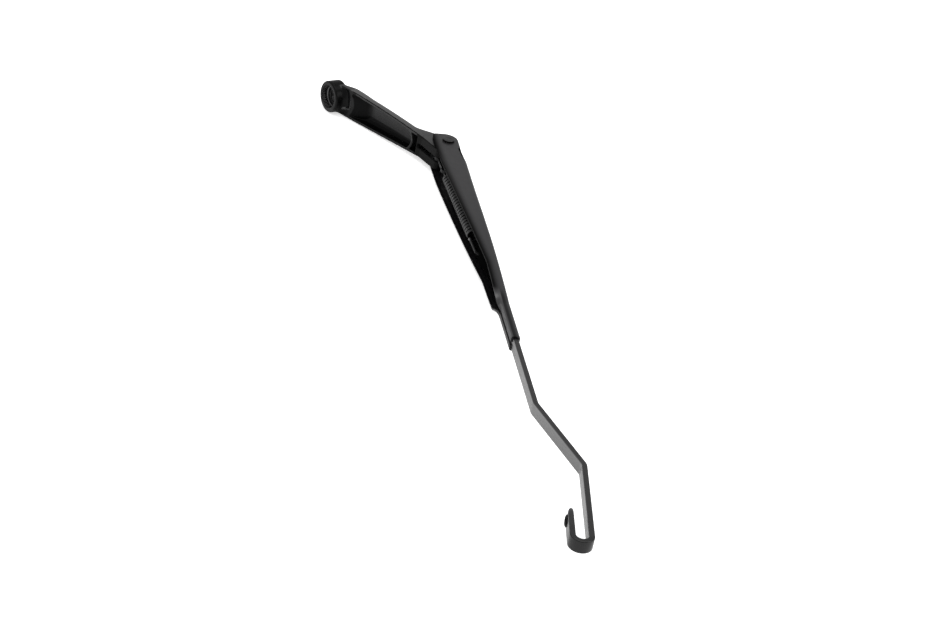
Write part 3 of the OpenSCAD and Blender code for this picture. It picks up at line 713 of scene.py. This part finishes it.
def strip_path():
    """Stations of the strip from its tab to its tip: x, y, heading in degrees, width share and thickness
    share. Towards the tip the width falls with the power 2.6 and the thickness with the power 1.6."""
    tab, jog_0 = np.array([tab_x0, tab_y]), np.array([hole_x + JOG_0, tab_y])
    jog_1 = np.array([hole_x + JOG_1, strip_y])
    first = [(tab_x0 + d, tab_y, 0, s, 1) for d, s in ((0, .78), (.3, .86), (1, .94), (2, .985), (3, 1))]
    hook = [(*(hook_c + polar(HOOK_R, STEM_DEG + 90 - 180 * i / 40)), STEM_DEG - 180 * i / 40, 1, 1)
            for i in range(41)]
    tip_u = np.linspace(1, 0, 15) ** 1.5
    tip_w, tip_t = 0.6 + 0.4 * (1 - (1 - tip_u) ** 2.6), 0.5 + 0.5 * (1 - (1 - tip_u) ** 1.6)
    tip_at = [leg_tip + polar(TIP_L * u, STEM_DEG) + polar((1 - t) * STRIP_T / 2, STEM_DEG + 90)
              for u, t in zip(tip_u, tip_t)]
    tip = [(*p, LEG_DEG, w, t) for p, w, t in zip(tip_at, tip_w, tip_t)]
    return np.array(
        first + bend(tab, jog_0, jog_1, 8, 8) + bend(jog_0, jog_1, bend_1, 8, 8)
        + straight(jog_1, bend_1, 0, 12) + bend(jog_1, bend_1, bend_2, 8)
        + bend(bend_1, bend_2, stem_end, 10) + hook + tip)


def strip_rings(path):
    """At each station a rectangle with rounded corners, square to the heading."""
    corner = np.radians(np.linspace(0, 90, 6))
    quarter = EDGE_R * np.column_stack([np.cos(corner), np.sin(corner)])
    signs = np.repeat([(1, 1), (-1, 1), (-1, -1), (1, -1)], 6, 0)
    edge = signs * np.concatenate([quarter, quarter[::-1], quarter, quarter[::-1]])
    heading = np.radians(path[:, 2])
    normal = np.column_stack([-np.sin(heading), np.cos(heading)])
    z = (path[:, 3:4] * STRIP_W / 2 - EDGE_R) * signs[:, 1] + edge[:, 1]
    up = (path[:, 4:5] * STRIP_T / 2 - EDGE_R) * signs[:, 0] + edge[:, 0]
    return np.stack([path[:, 0:1] + normal[:, 0:1] * up, path[:, 1:2] + normal[:, 1:2] * up, z], -1)


strip = skin("strip", arm_to_part(strip_rings(strip_path())))
along_leg = Matrix.Rotation(math.radians(STEM_DEG - FOLD_DEG), 4, "Z")
turn_clip = along_leg @ Matrix.Rotation(math.radians(90), 4, "X")
turn_tab = Matrix.Rotation(-FOLD, 4, "Z") @ ALONG_Y
clip_at = (*arm_to_part([*clip_c, 0])[:2], 0)
tab_at = (*arm_to_part([hole_x, tab_y, 0])[:2], 0)
clip_profile = [[0, -6], [CLIP_R, -6], [CLIP_R, 2.6], [CLIP_R + 0.4, 3.2], [0, 3.2]]
collar_profile = [[0, 0.5], [COLLAR_R, 0.5], [4.1, 2.05], [3.95, 2.45], [3.6, 2.8], [3.2, 2.95], [0, 2.95]]
collar = move(lathe("collar", collar_profile, 64), turn=turn_clip, at=clip_at)
clip_hole = move(lathe("clip_hole", clip_profile, 64), turn=turn_clip, at=clip_at)
tab_hole = move(cylinder("tab_hole", TAB_HOLE_R, -5, 5, 48), turn=turn_tab, at=tab_at)
combine(strip, [collar], "UNION")
combine(strip, [clip_hole, tab_hole], "DIFFERENCE")
smooth_by_angle(strip, 40)


def strip_painted_light(at, normal):
    """Faces turned down get a painted reflection of the white table, strongest past the second bend and
    on the leg, and the other faces a little painted shade. The tab and the hook's bend get painted shade,
    and the clip's hole and collar nearly full painted shade with no gloss."""
    x, y, z = part_to_arm(at)
    flat = soft((-normal[:, 1] - 0.35) / 0.3)
    lift = soft((x - bend_1[0] + 6) / 20) + 1.9 * soft((x - bend_2[0] + 4) / 8)
    leg = y < hook_c[1] - 0.1 * (x - hook_c[0]) - 3
    out = np.where(leg, 0.4 - 2.2 * flat, 0.4 - (0.2 + lift) * flat)
    out = np.where(x < TAPER_X + 2, 1.0, out)
    out += (0.6 - out) * soft((x - stem_end[0] + np.where(leg, 9, 3)) / 7)
    from_clip = np.stack([x, y], -1) - clip_c
    around = np.hypot(from_clip @ polar(1, STEM_DEG), z)
    raised = from_clip @ polar(1, OUT_DEG) > STRIP_T / 2 + 0.02
    return np.where(leg & (around < 4.5) & (raised | (around < 2.8)), 0.95, out)


give_painted_light(strip, strip_painted_light(*points_of(strip)))
finish_piece(strip, STRIP_PAINT, "arm", "black_paint", "arm_strip")

# %% [markdown]
# The spring: a round wire along a hook, a helix and a second hook. It stretches when the arm is lifted.

# %%
WIRE_R, MEAN_R, NEAR_R, FAR_R = 1.1, 3.9, 2.9, 3.5  # the wire, the coil and the two hooks
HOOK_X, COIL_X, COIL_L = 23.9, 32.9, 91.9  # along the spring: the near hook's centre and the helix
COIL_TURN = 360 * 22 + 150  # degrees
BLEND_X0, BLEND_X1 = 33.0, 124.0  # what lies between stretches
FAR_HOOK_X = 238.0  # in the part's frame, the far hook starts here and gets painted shade


def wire_line():
    """Centreline: radius, angle and length all change softly between the hooks and the helix."""
    a = np.radians(np.linspace(-90, 90, 25))
    parts = [np.column_stack([HOOK_X + np.linspace(5, 0.4, 8), np.zeros(8), np.full(8, -NEAR_R)]),
             np.column_stack([HOOK_X - NEAR_R * np.cos(a), np.zeros(25), NEAR_R * np.sin(a)])]
    u = np.linspace(0, 1, 26)[1:-1]
    r, t = NEAR_R + (MEAN_R - NEAR_R) * soft(u), np.radians(60 * u ** 3)
    parts.append(np.column_stack([HOOK_X + 9 * (1 - (1 - u) ** 1.15), r * np.sin(t), r * np.cos(t)]))
    n = int(COIL_TURN / 360 * 40)
    u = np.linspace(0, 1, n)
    t = np.radians(60 + COIL_TURN * u)
    parts.append(np.column_stack([COIL_X + COIL_L * u, MEAN_R * np.sin(t), MEAN_R * np.cos(t)]))
    end = COIL_X + COIL_L
    u = np.linspace(0, 1, 22)[1:]
    r, t = MEAN_R + (FAR_R - MEAN_R) * soft(u), np.radians(210 + 60 * (1 - (1 - u) ** 2))
    parts.append(np.column_stack([end + 5 * u, r * np.sin(t), r * np.cos(t)]))
    straight_x = np.linspace(end + 5, SPRING_LEN, 14)[1:-1]
    parts.append(np.column_stack([straight_x, np.full(12, -FAR_R), np.zeros(12)]))
    a = np.radians(np.linspace(-90, 90, 25))
    parts.append(np.column_stack([SPRING_LEN + FAR_R * np.cos(a), FAR_R * np.sin(a), np.zeros(25)]))
    parts.append(np.column_stack([SPRING_LEN - np.linspace(0.4, 2.5, 5), np.full(5, FAR_R), np.zeros(5)]))
    return np.concatenate(parts)


def tube(line, r, sides=16):
    """Rings of a round wire along a line. Each is square to the line, and they follow it without twist."""
    t = np.gradient(line, axis=0)
    t /= np.linalg.norm(t, axis=1, keepdims=True)
    n = np.zeros_like(line)
    n[0] = np.cross(t[0], [0.0, 0.0, 1.0])
    for i in range(1, len(line)):
        n[i] = n[i - 1] - (n[i - 1] @ t[i]) * t[i]
        n[i] /= np.linalg.norm(n[i])
    b = np.cross(t, n)
    a = np.linspace(0, 2 * np.pi, sides, endpoint=False)
    round_n, round_b = np.cos(a)[None, :, None] * n[:, None], np.sin(a)[None, :, None] * b[:, None]
    return line[:, None] + r * (round_n + round_b)


spring = skin("spring", spring_to_part(tube(wire_line(), WIRE_R)))
smooth_by_angle(outward(spring), 50)
at, normal = points_of(spring)
crown = soft((-normal[:, 1] - 0.5) / 0.4)  # a painted highlight on the side of each turn that looks out of the channel
# Painted shade on the far hook; elsewhere a little painted shade, with a painted highlight along the turns.
give_painted_light(spring, np.where(at[:, 0] > FAR_HOOK_X, 0.7, 0.2 - 1.6 * crown))
start = spring_to_part([BLEND_X0, 0, 0]) * MM
end = spring_to_part([BLEND_X1, 0, 0]) * MM
finish_piece(spring, SPRING_STEEL, None, "spring_steel", "tension_spring")
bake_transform(spring)

# %% [markdown]
# The CAD nodes that stay in view get their finishes.

# %%
for name, mat in (("hinge_bush_near", POLYMER), ("hinge_bush_far", POLYMER), ("anchor_pin", LINK_STEEL),
                  ("spring_link", LINK_STEEL)):
    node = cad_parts[name]
    node.data.materials.clear()
    node.data.materials.append(mat)
    node.data.polygons.foreach_set("material_index", np.zeros(len(node.data.polygons), np.int32))

# %% [markdown]
# Studio: a white floor that the arm lies on, a white sky and two soft lights. The floor looks brighter to
# the camera than in reflections, as an overexposed white table does, and gloss mirrors the sky darker.

# %%
FLOOR_HALF, FLOOR_Z = 6000, -13.05  # just under the boss, which the arm lies on
FLOOR_GLOW = 0.55
SKY, SKY_IN_GLOSS = 1.05, 0.55  # strength of the sky where it lights, and where gloss mirrors it
ARM_MIDDLE = (250, -40, 0)


def white_table():
    """A matt white sheet: no gloss, and to the camera alone it glows a little."""
    mat = bpy.data.materials.new("white_table")
    mat.use_nodes = True
    tree = mat.node_tree
    shader = wire(tree.nodes["Principled BSDF"], {
        "Base Color": linear("#eeeeee"), "Roughness": 0.9, "Specular IOR Level": 0.0})
    glow = add(tree, "Emission", {"Strength": FLOOR_GLOW})
    both = add(tree, "AddShader", {0: shader.outputs["BSDF"], 1: glow.outputs["Emission"]})
    mix = add(tree, "MixShader", {"Fac": add(tree, "LightPath").outputs["Is Camera Ray"],
                                  1: shader.outputs["BSDF"], 2: both.outputs["Shader"]})
    wire(tree.nodes["Material Output"], {"Surface": mix.outputs["Shader"]})
    return mat


def studio_sky():
    """A white sky that gloss sees darker than it is."""
    world = bpy.data.worlds.new("studio")
    world.use_nodes = True
    tree = world.node_tree
    level = add(tree, "MapRange", {"Value": add(tree, "LightPath").outputs["Is Glossy Ray"],
                                   "To Min": SKY, "To Max": SKY_IN_GLOSS})
    wire(tree.nodes["Background"], {"Color": linear("#ffffff"), "Strength": level.outputs["Result"]})
    return world


def soft_light(name, at, size, power):
    """A square area light in millimetres, turned towards the middle of the arm."""
    data = bpy.data.lights.new(name, "AREA")
    data.size = size * MM
    data.energy = power
    obj = bpy.data.objects.new(name, data)
    obj.location = Vector(at) * MM
    obj.rotation_euler = (Vector(ARM_MIDDLE) - Vector(at)).to_track_quat("-Z", "Y").to_euler()
    bpy.context.scene.collection.objects.link(obj)
    return obj


corners = [[sx * FLOOR_HALF, sy * FLOOR_HALF, FLOOR_Z] for sx, sy in ((-1, -1), (1, -1), (1, 1), (-1, 1))]
floor = mesh_object("floor", corners, [[0, 1, 2, 3]])
floor.data.materials.append(white_table())
bpy.context.scene.world = studio_sky()
soft_light("overhead", (100, 300, 1800), 1400, 12)
soft_light("side", (1500, 900, 1100), 1000, 8)

# %% [markdown]
# The camera stands where the photograph's did, which was fitted to the arm's main points.

# %%
LENS, SENSOR = 83.37, 36  # millimetres
EYE = Vector((1352.95, -933.68, 769.5))
RIGHT = Vector((0.55176, 0.81530, 0.17562))
DOWN = Vector((0.50541, -0.15937, -0.84803))
AHEAD = Vector((-0.66341, 0.55667, -0.5))

cam = bpy.data.cameras.new("photo_view")
cam.sensor_width = SENSOR
cam.lens = LENS
cam.clip_start = 0.05
cam.clip_end = 50
camera = bpy.data.objects.new("photo_view", cam)
axes = Matrix((RIGHT, -DOWN, -AHEAD)).transposed()
camera.matrix_world = Matrix.Translation(EYE * MM) @ axes.to_4x4()
bpy.context.scene.collection.objects.link(camera)
bpy.context.scene.camera = camera
bpy.context.scene.view_settings.view_transform = "Standard"
